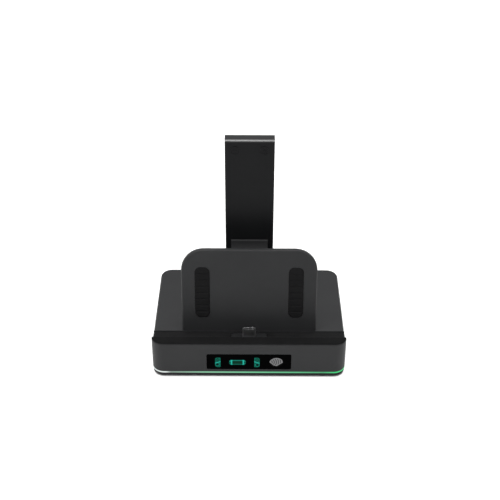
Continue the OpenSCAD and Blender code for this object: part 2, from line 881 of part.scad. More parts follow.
module plug_shell() {
    color("#b4b6b8") on_feet() leaned() translate([0, slot_t / 2, -plug_root]) difference() {
        linear_extrude(plug_root + plug_l) plug_outline(0);
        translate([0, 0, 1]) linear_extrude(far) plug_outline(plug_wall);
    }
}

module plug_insert() {
    color("#151517") on_feet() leaned() translate([0, slot_t / 2, 1 - plug_root]) difference() {
        linear_extrude(plug_root + plug_l - 1.3) plug_outline(plug_wall + 0.03);
        translate([0, 0, plug_root]) linear_extrude(far)
            square([mouth_w, mouth_t], center = true);
    }
}

module plug_riser() {
    color("#1d4a33") on_feet() difference() {
        leaned() translate([-riser_w / 2, (slot_t - riser_t) / 2, -far / 10])
            cube([riser_w, riser_t, far / 10 - plug_root]);
        translate([-far / 2, -far / 2, board_top - far]) cube([far, far, far]);
    }
}

// Backrest: a leaning panel on a foot, ribs behind it and a web back to the column
module rest_panel() {
    low = -4 * rest_t;
    top = (rest_h - slot_z + slot_t * sin(lean)) / cos(lean);
    leaned() translate([0, slot_t, 0]) {
        for (side = [-1, 1])
            translate([side * (rest_w / 2 - rest_corner_r), 0, top - rest_corner_r])
                rotate([-90, 0, 0]) rotate_extrude() rest_button_section();
        along_x(rest_w - 2 * rest_corner_r) intersection() {
            translate([rest_t / 2, 0]) round_rect(rest_t, 2 * top, rest_edge_r);
            translate([0, low]) square([rest_t, top - low]);
        }
        translate([0, rest_t / 2, low]) linear_extrude(top - rest_corner_r - low)
            round_rect(rest_w, rest_t, rest_edge_r);
    }
}

// Half the section of a round disc as thick as the panel, with both edges rounded
module rest_button_section() {
    square([rest_corner_r - rest_edge_r, rest_t]);
    translate([0, rest_edge_r]) square([rest_corner_r, rest_t - 2 * rest_edge_r]);
    for (y = [rest_edge_r, rest_t - rest_edge_r])
        translate([rest_corner_r - rest_edge_r, y]) circle(rest_edge_r);
}

// The web's side, with a round saddle between panel and column
module web_outline() {
    reach = lean_y(slot_t + rest_t, web_h) - 1;
    saddle_r = (col_y - reach - 1) / 2;
    difference() {
        polygon([[lean_y(slot_t + rest_t, deck_h) - 1, deck_h], [col_y, deck_h],
            [col_y, web_h], [reach, web_h]]);
        translate([reach + 1 + saddle_r, web_h]) circle(saddle_r);
    }
}

// One rib: a wedge behind the panel that stands on the foot
module rib_outline() {
    polygon([[rest_y - 1, deck_h], [rest_y + rest_foot_l - 1, deck_h],
        [lean_y(slot_t + rest_t, deck_h + rest_rib_h) - 1, deck_h + rest_rib_h]]);
}

module rest_foot() {
    from_y = deck_y + 1;
    translate([0, 0, deck_h]) linear_extrude(rest_foot_h)
        translate([0, (from_y + rest_y + rest_foot_l) / 2])
            round_rect(rest_w - 6, rest_y + rest_foot_l - from_y, 2);
}

module backrest() {
    color("#333436") on_feet() difference() {
        union() {
            rest_panel();
            rest_foot();
            along_x(web_w) web_outline();
            for (side = [-1, 1], x = [web_w / 2 + 6, rest_w / 2 - 6])
                translate([side * x, 0, 0]) along_x(rest_rib_t) rib_outline();
            for (spot = rest_screw_spots)
                translate([spot.x, spot.y, deck_h]) cylinder(h = rest_screw_l - wall + 1, r = post_r);
        }
        translate([-far / 2, -far / 2, deck_h - far]) cube([far, far, far]);
        for (spot = rest_screw_spots)
            translate([spot.x, spot.y, deck_h - cut])
                cylinder(h = rest_screw_l - wall + cut, r = shank_r + pilot_gap);
        both_sides() rest_pad_place() linear_extrude(far) round_rect(rest_pad_w + 2 * fit,
            rest_pad_l + 2 * fit, rest_pad_w / 2 - 1 + fit);
    }
}

// The seat of one pad: out of the panel's face, forwards, is +z
module rest_pad_place() {
    leaned() translate([rest_pad_x, slot_t + rest_pad_seat, rest_pad_l / 2 + 10])
        rotate([90, 0, 0]) children();
}

module backrest_pads() {
    color("#161617") on_feet() both_sides() rest_pad_place() difference() {
        linear_extrude(rest_pad_t) round_rect(rest_pad_w, rest_pad_l, rest_pad_w / 2 - 1);
        for (row = [-3 : 3])
            translate([-rest_pad_w, row * rest_pad_l / 8 - 0.4, rest_pad_t - 0.3])
                cube([2 * rest_pad_w, 0.8, cut]);
    }
}

module backrest_screws() {
    color("#6b6d70") on_feet() for (spot = rest_screw_spots)
        translate([spot.x, spot.y, deck_h - wall]) pan_screw(rest_screw_l, pan_r, pan_t, shank_r);
}

// Column: two shells, split through the middle of the rails
module column_side_view() {
    height = col_h - plate_t;
    translate([col_mid_y, plate_t]) {
        half_section(col_t / 2, height, col_back_r);
        mirror([1, 0]) half_section(col_t / 2, height, col_top_r);
    }
}

module stadium(w, h) {
    square([w, h - w], center = true);
    for (end = [-1, 1]) translate([0, end * (h - w) / 2]) circle(w / 2);
}

module rail_recess() {
    translate([rail_floor_x + col_w / 2, col_mid_y, rail_mid_z]) along_x(col_w)
        stadium(rail_w, rail_l);
}

module link_outline(gap) {
    stadium(link_t + 2 * gap, link_l + 2 * gap);
}

module mark_outline(is_plus) {
    difference() {
        circle(mark_r);
        circle(mark_r - mark_line);
    }
    square([mark_r, mark_line], center = true);
    if (is_plus) square([mark_line, mark_r], center = true);
}

module column_shell() {
    difference() {
        union() {
            difference() {
                intersection() {
                    along_x(col_w) column_side_view();
                    translate([0, col_mid_y, 0]) linear_extrude(far)
                        round_rect(col_w, col_t, col_edge_r);
                }
                translate([-cavity_x, col_y + col_wall, plate_t - cut])
                    cube([2 * cavity_x, col_t - 2 * col_wall, col_h - plate_t - 2 * col_wall + cut]);
            }
            for (z = col_screw_z)
                translate([0, col_y + col_wall / 2, z]) rotate([-90, 0, 0])
                    cylinder(h = col_t - col_wall, r = post_r);
            translate([0, col_mid_y, plate_t]) linear_extrude(flange_t) difference() {
                round_rect(flange_w, flange_d, 2);
                square([2 * cavity_x, col_t - 2 * col_wall], center = true);
            }
        }
        both_sides() rail_recess();
        both_sides() translate([cavity_x, col_mid_y, rail_mid_z]) along_x(4 * rail_wall)
            link_outline(fit);
        translate([-col_board_w / 2 - fit, col_mid_y - col_board_t / 2, board_top - cut])
            cube([col_board_w + 2 * fit, col_board_t, col_h - board_top - 2 * col_wall]);
        for (z = col_screw_z)
            translate([0, col_y + col_t - col_head_t - col_wall / 4, z]) rotate([90, 0, 0]) {
                cylinder(h = col_screw_l + fit, r = shank_r + pilot_gap);
                mirror([0, 0, 1]) cylinder(h = far, r = col_head_r + fit);
            }
        for (spot = flange_screw_spots)
            translate([spot.x, spot.y, 0]) cylinder(h = far / 10, r = shank_r + pilot_gap);
        for (side = [-1, 1])
            translate([side * mark_x, col_y, col_h - mark_drop]) rotate([90, 0, 0])
                translate([0, 0, -mark_depth]) linear_extrude(far) mark_outline(side > 0);
    }
}

module column_front() {
    color("#242526") on_feet() difference() {
        column_shell();
        translate([-far / 2, col_mid_y, -cut]) cube([far, far, far]);
        translate([-header_w / 2 - fit, col_y - cut, board_top - fit])
            cube([header_w + 2 * fit, col_wall + 2 * cut, 2 * header_h + 2 * fit]);
    }
}

module column_rear() {
    color("#242526") on_feet() difference() {
        column_shell();
        translate([-far / 2, col_mid_y - far, -cut]) cube([far, far, far]);
    }
}

module column_board() {
    color("#1d4a33") on_feet() difference() {
        translate([-col_board_w / 2, col_mid_y - col_board_t / 2, board_top])
            cube([col_board_w, col_board_t, col_h - board_top - 2 * col_wall - 2 * cut]);
        for (z = col_screw_z)
            translate([0, col_mid_y - cut, z]) rotate([-90, 0, 0])
                cylinder(h = 2 * cut, r = shank_r + pilot_gap);
    }
}

module column_header() {
    from_y = col_y - header_l;
    color("#e6e2d4") on_feet() translate([-header_w / 2, from_y, board_top])
        cube([header_w, col_mid_y - col_board_t / 2 - from_y, 2 * header_h]);
}

module column_screws() {
    color("#6b6d70") on_feet() for (z = col_screw_z)
        translate([0, col_y + col_t - col_head_t - col_wall / 4, z]) rotate([90, 0, 0])
            pan_screw(col_screw_l, col_head_r, col_head_t, shank_r);
}

// Connectors, contacts and magnets of the rails, the right-hand ones
module link() {
    tongue = rail_floor_x + link_proud - cavity_x;
    translate([cavity_x + tongue / 2, col_mid_y, rail_mid_z]) along_x(tongue) link_outline(0);
    body = cavity_x - fit - col_board_w / 2;
    translate([col_board_w / 2 + body / 2, col_mid_y, rail_mid_z]) along_x(body)
        square([magnet_w, link_l + 2], center = true);
    translate([cavity_x - fit, col_mid_y, rail_mid_z]) along_x(2 * fit) link_outline(0);
}

module contacts() {
    pitch = (link_l - link_t) / (contact_count - 1);
    for (i = [0 : contact_count - 1])
        translate([rail_floor_x + link_proud, col_mid_y - link_t / 4,
            rail_mid_z + (i - (contact_count - 1) / 2) * pitch - contact_w / 2])
            cube([fit, link_t / 2, contact_w]);
}

module link_left() {
    color("#1a1b1d") on_feet() mirror([1, 0, 0]) link();
}

module link_right() {
    color("#1a1b1d") on_feet() link();
}

module contacts_left() {
    color("#c9a24a") on_feet() mirror([1, 0, 0]) contacts();
}

module contacts_right() {
    color("#c9a24a") on_feet() contacts();
}

module rail_magnets() {
    color("#9a9c9e") on_feet() both_sides() for (step = [-1, 1])
        translate([cavity_x - magnet_t, col_mid_y - magnet_w / 2,
            rail_mid_z + step * magnet_z - magnet_l / 2])
            cube([magnet_t, magnet_w, magnet_l]);
}

base_shell();
bottom_plate();
feet();
base_screws();
light_guide();
light_board();
strip_lamps();
lip_cap();
slot_pad();
display_lens();
icon_left();
icon_long();
icon_field();
icon_right();
icon_leaf();
display_mask();
display_board();
display_header();
main_board();
board_chips();
board_screws();
ballast_bars();
inlet_shell();
inlet_tongue();
plug_carrier();
plug_shell();
plug_insert();
plug_riser();
backrest();
backrest_pads();
backrest_screws();
column_front();
column_rear();
column_board();
column_header();
column_screws();
link_left();
link_right();
contacts_left();
contacts_right();
rail_magnets();
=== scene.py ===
# %% [markdown]
# # A charging dock, dressed in Blender
# The dock is a low moulded base with a slot, a soft backrest and a tall column behind it.
# Its solids come ready-made from the CAD frame, at the right size and place. This notebook
# gives them their finishes, and replaces the few soft pieces whose surface CAD leaves plain.

# %% Load the frame
import math

import bpy
import numpy as np
from mathutils import Euler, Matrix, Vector


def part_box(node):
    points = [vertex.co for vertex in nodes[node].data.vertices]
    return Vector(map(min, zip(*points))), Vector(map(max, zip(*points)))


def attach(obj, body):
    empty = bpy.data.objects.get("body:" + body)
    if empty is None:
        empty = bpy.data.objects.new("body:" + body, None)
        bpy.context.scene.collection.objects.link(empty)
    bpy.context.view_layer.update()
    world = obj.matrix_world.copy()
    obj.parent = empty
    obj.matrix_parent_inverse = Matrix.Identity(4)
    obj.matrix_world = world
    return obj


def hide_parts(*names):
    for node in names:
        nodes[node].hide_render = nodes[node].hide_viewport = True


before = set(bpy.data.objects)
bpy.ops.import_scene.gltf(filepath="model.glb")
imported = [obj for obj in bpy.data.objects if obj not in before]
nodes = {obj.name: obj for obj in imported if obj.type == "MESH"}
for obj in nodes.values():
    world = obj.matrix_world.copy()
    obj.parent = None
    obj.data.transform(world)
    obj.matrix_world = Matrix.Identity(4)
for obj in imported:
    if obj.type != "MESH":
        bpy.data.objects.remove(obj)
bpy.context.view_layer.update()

print("nodes in the frame:", len(nodes))

# %% [markdown]
# ## Camera
# The picture looks down at the front of the dock, by a good third of a right angle, with a
# long lens. The place below was fitted to the edges of the base and of the column's top,
# and the small roll lowers the right end by about a pixel, as in the picture.

# %% Camera
CAMERA_PLACE = Vector((0.0004, -0.5271, 0.4139))
CAMERA_PITCH = math.radians(56.5)
CAMERA_ROLL = 0.0042
LENS_MM = 72.85

camera_data = bpy.data.cameras.new("camera")
camera_data.lens = LENS_MM
camera_data.sensor_width = 36
camera_data.clip_start = 0.01
camera = bpy.data.objects.new("camera", camera_data)
camera.location = CAMERA_PLACE
camera.rotation_euler = (
    Euler((CAMERA_PITCH, 0, 0)).to_matrix() @ Euler((0, 0, CAMERA_ROLL)).to_matrix()
).to_euler()
bpy.context.scene.collection.objects.link(camera)
bpy.context.scene.camera = camera
bpy.context.scene.view_settings.view_transform = "Standard"
print("camera stands", round(CAMERA_PLACE.length * 1000), "mm from the base's middle")

# %% [markdown]
# ## Shader sums as Python sums
# A material in Blender is a graph of nodes. Long sums are hard to read as a graph, so one
# small class wraps a socket and lets it be added, multiplied and compared in Python. Each
# sum still makes real Math nodes. A second class holds the material under construction.


# %% Sockets that can be used in sums
class Wire:
    """A number that varies over the surface. Sums on it add Math nodes to its material."""

    def __init__(self, finish, socket):
        self.finish = finish
        self.socket = socket

    def math(self, operation, *values):
        return self.finish.node("Math", {"operation": operation}, list(values))

    def __add__(self, other):
        return self.math("ADD", self, other)

    def __radd__(self, other):
        return self.math("ADD", other, self)

    def __sub__(self, other):
        return self.math("SUBTRACT", self, other)

    def __rsub__(self, other):
        return self.math("SUBTRACT", other, self)

    def __mul__(self, other):
        return self.math("MULTIPLY", self, other)

    def __rmul__(self, other):
        return self.math("MULTIPLY", other, self)

    def __truediv__(self, other):
        return self.math("DIVIDE", self, other)

    def __abs__(self):
        return self.math("ABSOLUTE", self)

    def __pow__(self, other):
        return self.math("POWER", self, other)

    def most(self, other):
        return self.math("MAXIMUM", self, other)

    def least(self, other):
        return self.math("MINIMUM", self, other)

    def wave(self, length):
        """A sine of this value that repeats after length, between -1 and 1."""
        return self.math("SINE", self * (2 * math.pi / length))

    def fraction(self):
        """What is left of this value over the whole number below it."""
        return self.math("FRACT", self)

    def step(self, start, end):
        """0 before start, 1 after end, and a straight slope between them."""
        return self.finish.node(
            "MapRange",
            {"clamp": True},
            {"Value": self, "From Min": start, "From Max": end},
        )


# %% [markdown]
# A finish starts from the Principled shader. Numbers that are the same all over the
# surface go straight onto the shader's sockets, and only what changes over the surface
# gets a wire. Places are read from Object coordinates, in millimetres, so a pattern sits
# where the drawing says and doesn't move with the view.


# %% A material under construction
class Finish:
    """A Principled material. constants are the sockets that are the same all over it."""

    def __init__(self, name, **constants):
        self.material = bpy.data.materials.new(name)
        self.material.use_nodes = True
        self.tree = self.material.node_tree
        self.shader = self.tree.nodes["Principled BSDF"]
        for key, value in constants.items():
            self.shader.inputs[key.replace("_", " ")].default_value = value

    def feed(self, socket, value):
        if isinstance(value, Wire):
            self.tree.links.new(value.socket, socket)
        else:
            socket.default_value = value

    def node(self, kind, settings=(), inputs=(), output=0):
        """Adds a shader node: its settings first, then its inputs by name or in order."""
        made = self.tree.nodes.new("ShaderNode" + kind)
        for key, value in dict(settings).items():
            setattr(made, key, value)
        pairs = inputs.items() if isinstance(inputs, dict) else enumerate(inputs)
        for key, value in pairs:
            self.feed(made.inputs[key], value)
        return Wire(self, made.outputs[output])

    def place(self):
        """x, y and z on the object, in millimetres, as three wires."""
        spot = self.node("TexCoord", output="Object")
        parts = self.tree.nodes.new("ShaderNodeSeparateXYZ")
        self.tree.links.new(spot.socket, parts.inputs[0])
        return [Wire(self, out) * 1000 for out in parts.outputs]

    def noise(self, size, detail, stretch=(1, 1, 1)):
        """Cloudy noise between 0 and 1 whose blobs are about size mm across."""
        spot = self.node("TexCoord", output="Object")
        spot = self.node("Mapping", (), {"Vector": spot, "Scale": stretch})
        return self.node("TexNoise", (), {"Vector": spot, "Scale": 1000 / size, "Detail": detail})

    def blend(self, start, end, share):
        """A colour that goes from start to end as share goes from 0 to 1."""
        made = self.tree.nodes.new("ShaderNodeMix")
        made.data_type = "RGBA"
        self.feed(made.inputs[0], share)
        for socket, value in ((made.inputs[6], start), (made.inputs[7], end)):
            self.feed(socket, value if isinstance(value, Wire) else (*value, 1.0))
        return Wire(self, made.outputs[2])

    def rounded(self, radius):
        """The surface's direction, as if every sharp edge were rounded by radius mm."""
        return self.node("Bevel", {"samples": 4}, {"Radius": radius / 1000})

    def edges(self, radius):
        """1 on a corner sharper than radius mm and 0 on a flat: 1 less the dot product of the
        rounded direction and the true one."""
        soft = self.rounded(radius)
        flat = self.node("NewGeometry", output="Normal")
        both = self.node("VectorMath", {"operation": "DOT_PRODUCT"}, [soft, flat], "Value")
        return (1 - both).step(0.02, 0.3)

    def relief(self, height, depth, strength, radius=None):
        """Bump from height, 0 to 1, that is depth mm deep, over edges rounded by radius mm."""
        inputs = {"Strength": strength, "Distance": depth / 1000, "Height": height}
        if radius:
            inputs["Normal"] = self.rounded(radius)
        self.feed(self.shader.inputs["Normal"], self.node("Bump", (), inputs))

    def colour(self, value):
        self.feed(self.shader.inputs["Base Color"], value)

    def gloss(self, value):
        self.feed(self.shader.inputs["Roughness"], value)

    def present(self, name):
        """The wire that already feeds a socket of the shader."""
        return Wire(self, self.shader.inputs[name].links[0].from_socket)

    def tint(self, value, share):
        """Lays a second colour over the first one, as far as share goes."""
        self.colour(self.blend(self.present("Base Color"), value, share))

    def polish(self, roughness, share):
        """Goes from the present roughness to another one, as far as share goes."""
        self.gloss(self.present("Roughness") * (1 - share) + share * roughness)

    def glow(self, value, strength=1.0):
        self.feed(self.shader.inputs["Emission Color"], value)
        self.shader.inputs["Emission Strength"].default_value = strength


def dress(finish, *names):
    """Gives a finish to CAD nodes, by their names."""
    for name in names:
        for holder in nodes[name].material_slots:
            holder.material = finish.material
        if not nodes[name].material_slots:
            nodes[name].data.materials.append(finish.material)
    print(finish.material.name, "on", ", ".join(names))


# %% [markdown]
# ## Housing
# The base is moulded in dark grey plastic. The mould was spark-eroded, which leaves a fine
# matt grain on every face. A picture of grain would repeat and blur close by, so the grain
# here is noise at two sizes, 0.35 and 0.12 mm. The colour drifts a little, as the pigment
# does, hands have polished faint patches, and the sharp edges are worn a shade lighter.


# %% Moulded plastic with a spark-eroded grain
GRAIN_BIG, GRAIN_SMALL = 0.35, 0.12
CLOUD_SIZE, FLECK_SIZE, RUB_SIZE = 26, 0.5, 17
WORN_R, WORN_GAIN = 0.45, 1.9


def moulded(name, dark, pale, roughness, grain=0.014, **constants):
    """Plastic between two tones, with pits that are grain mm deep and paler, smoother edges."""
    finish = Finish(name, **constants)
    cloud = finish.noise(CLOUD_SIZE, 3)
    fleck = finish.noise(FLECK_SIZE, 2)
    worn = finish.edges(WORN_R)
    tone = cloud * 0.6 + fleck * 0.4
    body = finish.blend(dark, pale, tone.step(0.35, 0.65))
    finish.colour(finish.blend(body, [WORN_GAIN * part for part in pale], worn * 0.5))
    rubbed = finish.noise(RUB_SIZE, 4, (1, 1, 0.6)).step(0.55, 0.75)
    finish.gloss(roughness + fleck * 0.08 - rubbed * 0.06 - worn * 0.1)
    pits = finish.noise(GRAIN_BIG, 2) * 0.6 + finish.noise(GRAIN_SMALL, 1) * 0.4
    finish.relief(pits, grain, 0.55, 0.2)
    return finish


housing = moulded(
    "housing", (0.0216, 0.0221, 0.0231), (0.0264, 0.0269, 0.0280), 0.48, Specular_IOR_Level=0.24
)
dress(housing, "base_shell", "backrest")

# %% [markdown]
# ## Column and bottom plate
# The column is a darker run of the same plastic, with a shallower and slightly smoother
# grain; part of its darkness is painted shade. Its front half has a face painted darker than
# its top, as painted shade, and the rounded edge between them is polished, because that edge
# is ground into the mould after the grain is. Both changes happen at a height and a depth that
# come from the frame, so they stay on the edge. The bottom plate is a little warmer and
# rougher than the housing.

# %% Darker plastic
# Darker than the housing, partly as painted shade.
column = moulded(
    "column", (0.0150, 0.0153, 0.0162), (0.0195, 0.0199, 0.0209), 0.38, 0.009,
    Specular_IOR_Level=0.3,
)
dress(column, "column_rear", "plug_carrier")

# %% Face, edge and top of the column
EDGE_R = 1.2
COLUMN_T = 11.0
POLISHED = 0.13
_, split_y, column_top = [1000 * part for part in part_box("column_front")[1]]
face_y = split_y - COLUMN_T / 2
# The face's dark colour is painted shade; the paler top tone is laid over the top and its edge.
column_face_painted_shade = moulded(
    "column_face_painted_shade", (0.0070, 0.0072, 0.0078), (0.0095, 0.0098, 0.0105), 0.42, 0.009,
    Specular_IOR_Level=0.12, Coat_Roughness=0.1, Coat_IOR=1.6,
)
_, y, z = column_face_painted_shade.place()
rise = (z - column_top + EDGE_R * 1.1).step(0, 0.3 * EDGE_R)
top_tone = column_face_painted_shade.blend(
    (0.0230, 0.0233, 0.0242), (0.0285, 0.0289, 0.0299), column_face_painted_shade.noise(9, 3)
)
column_face_painted_shade.tint(top_tone, rise)
near = 1 - (y - face_y - EDGE_R).step(0, 0.2)
column_face_painted_shade.polish(POLISHED, rise * near)
column_face_painted_shade.feed(column_face_painted_shade.shader.inputs["Coat Weight"], rise * near)
dress(column_face_painted_shade, "column_front")
print("column's face stands at y =", round(face_y, 2), "and its top at z =", round(column_top, 2))

# %% Bottom plate
plate = moulded(
    "plate", (0.0245, 0.0220, 0.0250), (0.0300, 0.0270, 0.0305), 0.62, Specular_IOR_Level=0.14
)
dress(plate, "bottom_plate")

# %% [markdown]
# ## Soft rubber
# The cap of the lip and every surface that touches something is matt silicone rubber. It
# scatters light evenly, holds a little pale dust, and has hardly any shine. Dust is a
# second, lighter colour, shown where a broad and a fine noise are both high. The lip's cap
# is made the blackest, as painted shade, and a painted highlight pales its outer edge.


# %% Silicone rubber
RUBBER_TONES = ((0.0060, 0.0060, 0.0064), (0.0090, 0.0090, 0.0094))
DUST = (0.04, 0.039, 0.037)
# Pale colour of a painted highlight along sharp edges.
EDGE_HIGHLIGHT = (0.028, 0.028, 0.029)


def rubber(name, tone=1.0, specular=0.12, edge_highlight=0.0):
    """Matt black rubber. tone scales its colour, and below 1 it darkens it as painted shade; the
    last argument is how far a painted highlight pales its sharp edges.
    """
    finish = Finish(name, Specular_IOR_Level=specular)
    dust = finish.noise(9, 4).step(0.5, 0.75) * finish.noise(0.25, 2).step(0.45, 0.7)
    dark, pale = [[tone * part for part in shade] for shade in RUBBER_TONES]
    body = finish.blend(dark, pale, finish.noise(14, 3))
    body = finish.blend(body, DUST, dust * 0.3 * tone)
    # Sharp edges pale into a painted highlight.
    if edge_highlight:
        body = finish.blend(body, EDGE_HIGHLIGHT, finish.edges(0.6) * edge_highlight)
    finish.colour(body)
    finish.gloss(0.78 + dust * 0.12 - finish.noise(6, 2) * 0.06)
    finish.relief(finish.noise(0.18, 2), 0.008, 0.5, 0.15)
    return finish


soft_black = rubber("soft_black")
# The lip's cap is darker, as painted shade, with a painted highlight on its outer edge.
dress(rubber("lip_rubber_painted_shade", 0.65, 0.09, 0.8), "lip_cap")

# %% [markdown]
# The mat in the slot, the two pads of the backrest and the four feet are rubber as well. CAD
# holds them as plain blocks, and what makes them soft to look at is their surface: ribs,
# crowned tops and rings. Mat and pads are worked out here as surfaces over a grid of two
# numbers, closed with a matching underside, and the feet as turned profiles. Modelling the
# ribs by hand would take hundreds of cuts, and a displacement map needs a far finer mesh
# than a grid whose lines follow the ribs.


# %% Closed pieces from grids
def make_piece(name, points, faces, replaced):
    """A rubber piece in metres from points in mm, turned outwards by the sign of its volume,
    which is the sum of each face's triple product. It takes the place of a CAD node."""
    points = np.asarray(points, float) / 1000
    corners = np.array([face[:3] for face in faces])
    a, b, c = (points[corners[:, k]] for k in range(3))
    inside_out = np.einsum("ij,ij->i", a, np.cross(b, c)).sum() < 0
    mesh = bpy.data.meshes.new(name)
    mesh.from_pydata(points.tolist(), [], [f[::-1] if inside_out else f for f in faces])
    mesh.polygons.foreach_set("use_smooth", np.ones(len(mesh.polygons), bool))
    mesh.set_sharp_from_angle(angle=math.radians(40))
    mesh.materials.append(soft_black.material)
    piece = bpy.data.objects.new(name, mesh)
    bpy.context.scene.collection.objects.link(piece)
    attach(piece, "root")
    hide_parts(replaced)
    print(name, "has", len(points), "points and", len(faces), "faces")


def slab(top, bottom, kept=None):
    """Points and faces of a closed slab. top and bottom are grids of points; where kept is
    False the slab has a hole, and every edge between kept and unkept cells gets a wall."""
    rows, columns = top.shape[:2]
    count = rows * columns
    index = np.arange(count).reshape(rows, columns)
    if kept is None:
        kept = np.ones((rows - 1, columns - 1), bool)
    a, b, c, d = index[:-1, :-1], index[1:, :-1], index[1:, 1:], index[:-1, 1:]
    cells = np.stack([a, b, c, d], -1)[kept]
    parts = [cells, cells[:, ::-1] + count]
    padded = np.pad(kept, 1)
    sides = (((a, b), (0, -1)), ((b, c), (1, 0)), ((c, d), (0, 1)), ((d, a), (-1, 0)))
    for (start, end), (step_row, step_column) in sides:
        beside = padded[
            1 + step_row : rows + step_row, 1 + step_column : columns + step_column
        ]
        open_edge = kept & ~beside
        start, end = start[open_edge], end[open_edge]
        parts.append(np.stack([end, start, start + count, end + count], -1))
    points = np.concatenate([top.reshape(-1, 3), bottom.reshape(-1, 3)])
    return points, np.concatenate(parts).tolist()


def joined(parts):
    """One list of points and one of faces from several, with the faces' numbers moved up."""
    points, faces, start = [], [], 0
    for some_points, some_faces in parts:
        points.append(some_points)
        faces += [[start + corner for corner in face] for face in some_faces]
        start += len(some_points)
    return np.concatenate(points), faces


def ease(share):
    """0 below 0, 1 above 1, and an S-shaped curve between: 3 s squared less 2 s cubed."""
    share = np.clip(share, 0, 1)
    return share * share * (3 - 2 * share)


# %% [markdown]
# ### Slot mat
# The mat is the slot's floor, which leans back with the slot. Ribs run along it, every
# 1.3 mm, and fade out at its rim. Its ends follow the base's round corners, and a hole
# leaves room for the plug's carrier. The grid's lines run along the hole's sides, and the
# lines' points beside its corners are moved onto the corners' arcs.
#
# Sizes here and below are the drawing's own, in millimetres. A name that ends in W, D, L, T
# or R is a width, depth, length, thickness or radius, and one in X, Y, Z or U is a place.

# %% Places in the leaning slot
BASE_HALF_W, BASE_HALF_D, CORNER_R = 60.0, 45.0, 7.5
LEAN = math.radians(10.6)
SLOT_Y, SLOT_Z = -39.428, 22.177
SLOT_T = 15.7


def leaned(x, u, v):
    """Points in the row frame from x along the slot, u across its floor and v above it. They
    are turned by the lean round the line where the slot's front wall meets its floor."""
    y = SLOT_Y + u * math.cos(LEAN) + v * math.sin(LEAN)
    z = SLOT_Z - u * math.sin(LEAN) + v * math.cos(LEAN)
    return np.stack(np.broadcast_arrays(x, y, z), -1)


print("floor of the slot falls by", round(SLOT_T * math.sin(LEAN), 2), "mm towards the back")

# %% Slot mat
MAT_T = 1.0
END_GAP, SIDE_GAP = 0.8, 0.15
RIB_PITCH, RIB_DEPTH, RIB_FADE = 1.3, 0.32, 0.9
RIM_W, RIM_DROP = 0.5, 0.25
HOLE_X, HOLE_U, HOLE_R = 11.2, 4.7, 2.2
TINY = 1e-6


def round_the_hole(x, u):
    """Moves the grid's points beside the hole's corners onto arcs. A point's turn along its
    arc grows evenly with its place, up to an eighth of a circle at the corner itself."""
    out_x, out_u = np.abs(x), np.abs(u - SLOT_T / 2)
    sign_x, sign_u = np.sign(x), np.sign(u - SLOT_T / 2)
    on_side = np.isclose(out_x, HOLE_X) & (out_u > HOLE_U - HOLE_R - TINY)
    on_side &= out_u < HOLE_U - TINY
    on_row = np.isclose(out_u, HOLE_U) & (out_x > HOLE_X - HOLE_R - TINY)
    on_row &= out_x < HOLE_X + TINY
    for picked, gap, ways in (
        (on_side, HOLE_U - out_u, (np.cos, np.sin)),
        (on_row, HOLE_X - out_x, (np.sin, np.cos)),
    ):
        turn = math.pi / 4 * (1 - gap[picked] / HOLE_R)
        arc_x, arc_u = (HOLE_R * way(turn) for way in ways)
        x[picked] = sign_x[picked] * (HOLE_X - HOLE_R + arc_x)
        u[picked] = SLOT_T / 2 + sign_u[picked] * (HOLE_U - HOLE_R + arc_u)


def slot_mat():
    """Height is minus the rib depth times a raised cosine of u, times a share that falls to 0
    before every edge, and the rim drops in an S-shaped curve. The ends follow an arc inside
    the base's corner: its centre, plus the root of its radius squared less the square of how
    far a point has gone into the corner."""
    low, high = SLOT_T / 2 - HOLE_U, SLOT_T / 2 + HOLE_U
    lines = ((SIDE_GAP, low, 24), (low, high, 73), (high, SLOT_T - SIDE_GAP, 24))
    u_line = np.unique(np.concatenate([np.linspace(*line) for line in lines]))
    into_corner = np.maximum(CORNER_R - BASE_HALF_D - SLOT_Y - u_line * math.cos(LEAN), 0)
    reach = BASE_HALF_W - CORNER_R + np.sqrt((CORNER_R - END_GAP) ** 2 - into_corner**2)
    inner = np.linspace(-HOLE_X, HOLE_X, 33)
    away = np.linspace(0, 1, 22)[1:] ** 0.8
    outer = HOLE_X + away[:, None] * (reach - HOLE_X)
    x = np.concatenate([-outer[::-1], np.repeat(inner[:, None], len(u_line), 1), outer])
    u = np.repeat(u_line[None, :], len(x), 0)
    to_edge = np.minimum(np.abs(reach - np.abs(x)), np.minimum(u, SLOT_T - u) - SIDE_GAP)
    to_hole = np.maximum(np.abs(x) - HOLE_X, np.abs(u - SLOT_T / 2) - HOLE_U)
    share = ease(to_edge / RIB_FADE) * ease(to_hole / RIB_FADE)
    ribs = (1 - np.cos(2 * math.pi * (u - SLOT_T / 2) / RIB_PITCH)) / 2
    v = -RIB_DEPTH * ribs * share - RIM_DROP * (1 - ease(to_edge / RIM_W))
    round_the_hole(x, u)
    middle_x = (x[:-1, :-1] + x[1:, 1:]) / 2
    middle_u = (u[:-1, :-1] + u[1:, 1:]) / 2 - SLOT_T / 2
    kept = (np.abs(middle_x) > HOLE_X) | (np.abs(middle_u) > HOLE_U)
    return slab(leaned(x, u, v), leaned(x, u, -MAT_T), kept)


make_piece("slot_mat", *slot_mat(), "slot_pad")

# %% [markdown]
# ### Backrest pads
# Two upright pads keep what leans on the panel off the hard plastic. Their ends are round,
# their tops crowned, and seven soft grooves cross them. Each row of the grid is one line
# across the pad, and its half width comes from the round end, so the grooves follow rows.

# %% Backrest pads
PAD_X, PAD_W, PAD_L = 29.0, 9.0, 34.0
PAD_END_R = 3.5
PAD_SEAT, PAD_PROUD = 1.0, 0.6
PAD_LOW = 10.0
PAD_RIM, PAD_CROWN = 1.1, 0.14
GROOVES = 7
GROOVE_HALF, GROOVE_DEPTH, GROOVE_FADE = 0.75, 0.34, 0.8


